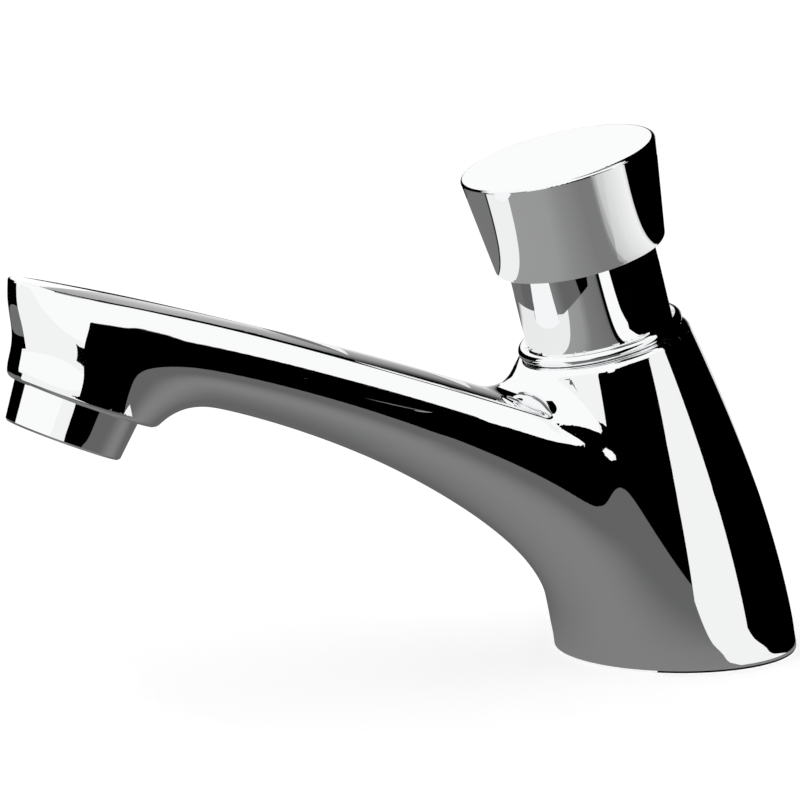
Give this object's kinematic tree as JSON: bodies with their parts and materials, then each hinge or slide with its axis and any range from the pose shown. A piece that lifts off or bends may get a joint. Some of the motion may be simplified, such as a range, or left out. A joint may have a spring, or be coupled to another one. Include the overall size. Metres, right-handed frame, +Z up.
{
  "type": "push timed tap",
  "caption": "Deck-mounted chromed push tap: a round base with a leaning column, a long flat-topped spout with an aerator, and a flared push button on a bright neck.",
  "frame": {"origin": "centre of the round base, in the plane of the deck that it stands on", "axes": "+Z up from the deck; the spout points to -Y, towards the person using it; +X is to the right of someone standing at the back of the tap and looking along the spout, and the part is symmetric about the plane X = 0"},
  "size_m": [0.048, 0.1633, 0.1047],
  "materials": {
    "chromed_casting": "mirror",
    "chromed_trim": "mirror",
    "white_acetal": "satin",
    "grey_acetal": "satin",
    "brass": "machined",
    "stainless_steel": "satin",
    "black_rubber": "matte"
  },
  "bodies": {
    "tap": {"tap_body": "chromed_casting", "collar_ring": "chromed_trim", "neck_sleeve": "chromed_trim", "guide_bush": "white_acetal", "gland_nut": "brass", "stem_seal_ring": "black_rubber", "cartridge_barrel": "white_acetal", "barrel_seal_lower": "black_rubber", "barrel_seal_upper": "black_rubber", "seat_ring": "brass", "timing_pin": "stainless_steel", "return_spring": "stainless_steel", "inlet_strainer": "stainless_steel", "strainer_clip": "stainless_steel", "base_seal": "black_rubber", "aerator_housing": "chromed_trim", "aerator_washer": "black_rubber", "aerator_screen": "stainless_steel", "aerator_insert": "grey_acetal", "flow_regulator": "grey_acetal"},
    "button": {"push_button": "chromed_trim", "button_locknut": "brass", "stem": "brass", "piston": "white_acetal", "lip_seal": "black_rubber", "piston_circlip": "stainless_steel", "valve_washer": "black_rubber", "washer_plate": "brass", "valve_nut": "brass"}
  },
  "joints": [
    {"name": "button_press", "type": "slide", "parent": "tap", "child": "button", "axis": [0, 0.2588, -0.9659], "range_m": [0, 0.008], "stiffness_N_per_m": 1500, "springref_m": -0.005, "deforming": ["return_spring"]}
  ]
}
